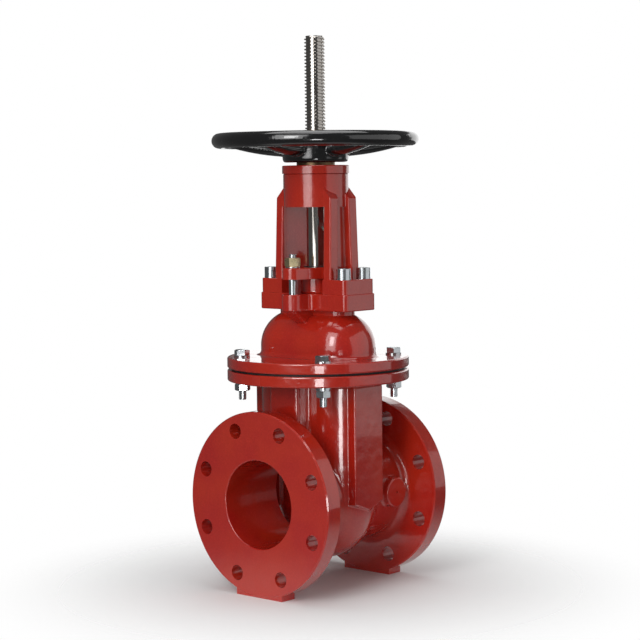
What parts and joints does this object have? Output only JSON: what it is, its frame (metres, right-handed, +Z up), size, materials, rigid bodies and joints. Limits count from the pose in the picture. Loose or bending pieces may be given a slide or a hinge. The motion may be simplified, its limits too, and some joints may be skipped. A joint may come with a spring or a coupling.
{
  "type": "gate valve",
  "caption": "Flanged gate valve with outside screw and yoke: a handwheel raises a threaded stem and its rubber-faced wedge clear of a straight port.",
  "frame": {"origin": "on the stem axis, at the level of the feet under the flanges", "axes": "+X along the pipe from inlet to outlet, +Z up the stem, Y across the pipe"},
  "size_m": [0.26, 0.26, 0.689],
  "materials": {
    "red_enamel": "gloss fusion-bonded epoxy",
    "black_enamel": "gloss enamel",
    "bright_zinc": "bright zinc plate",
    "stem_steel": "ground and polished stainless",
    "bronze": "machined",
    "nut_brass": "machined",
    "black_rubber": "matte",
    "packing_braid": "braided graphite",
    "guide_nylon": "moulded",
    "bare_iron": "as cast"
  },
  "bodies": {
    "valve": {"valve_body": "red_enamel", "bonnet": "red_enamel", "gland_flange": "red_enamel", "yoke": "red_enamel", "yoke_cap": "red_enamel", "bonnet_bolts": "bright_zinc", "bonnet_washers": "bright_zinc", "bonnet_spring_washers": "bright_zinc", "bonnet_nuts": "bright_zinc", "gland_studs": "bright_zinc", "gland_washers": "bright_zinc", "yoke_screws": "bright_zinc", "yoke_spring_washers": "bright_zinc", "yoke_tag_screw": "bright_zinc", "backseat_bushing": "bronze", "packing_follower": "bronze", "lower_thrust_washer": "bronze", "upper_thrust_washer": "bronze", "gland_nuts": "nut_brass", "bonnet_gasket": "black_rubber", "stem_wiper": "black_rubber", "packing_ring_1": "packing_braid", "packing_ring_2": "packing_braid", "packing_ring_3": "packing_braid", "packing_ring_4": "packing_braid"},
    "handwheel": {"handwheel": "black_enamel", "handwheel_key": "bright_zinc", "handwheel_washer": "bright_zinc", "handwheel_nut": "bright_zinc", "stem_nut": "bronze"},
    "stem": {"stem": "stem_steel", "stem_pin": "stem_steel", "wedge_core": "bare_iron", "wedge_rubber": "black_rubber", "wedge_guide_shoes": "guide_nylon", "wedge_nut": "bronze"}
  },
  "joints": [
    {"name": "handwheel_turn", "type": "hinge", "parent": "valve", "child": "handwheel", "pos_m": [0, 0, 0.5605], "axis": [0, 0, 1], "range_deg": [-4860, 0]},
    {"name": "stem_slide", "type": "slide", "parent": "valve", "child": "stem", "axis": [0, 0, 1], "range_m": [-0.1144, 0]}
  ],
  "couplings": [
    {"joint": "stem_slide", "follows": "handwheel_turn", "m_per_rad": 0.0013475}
  ]
}
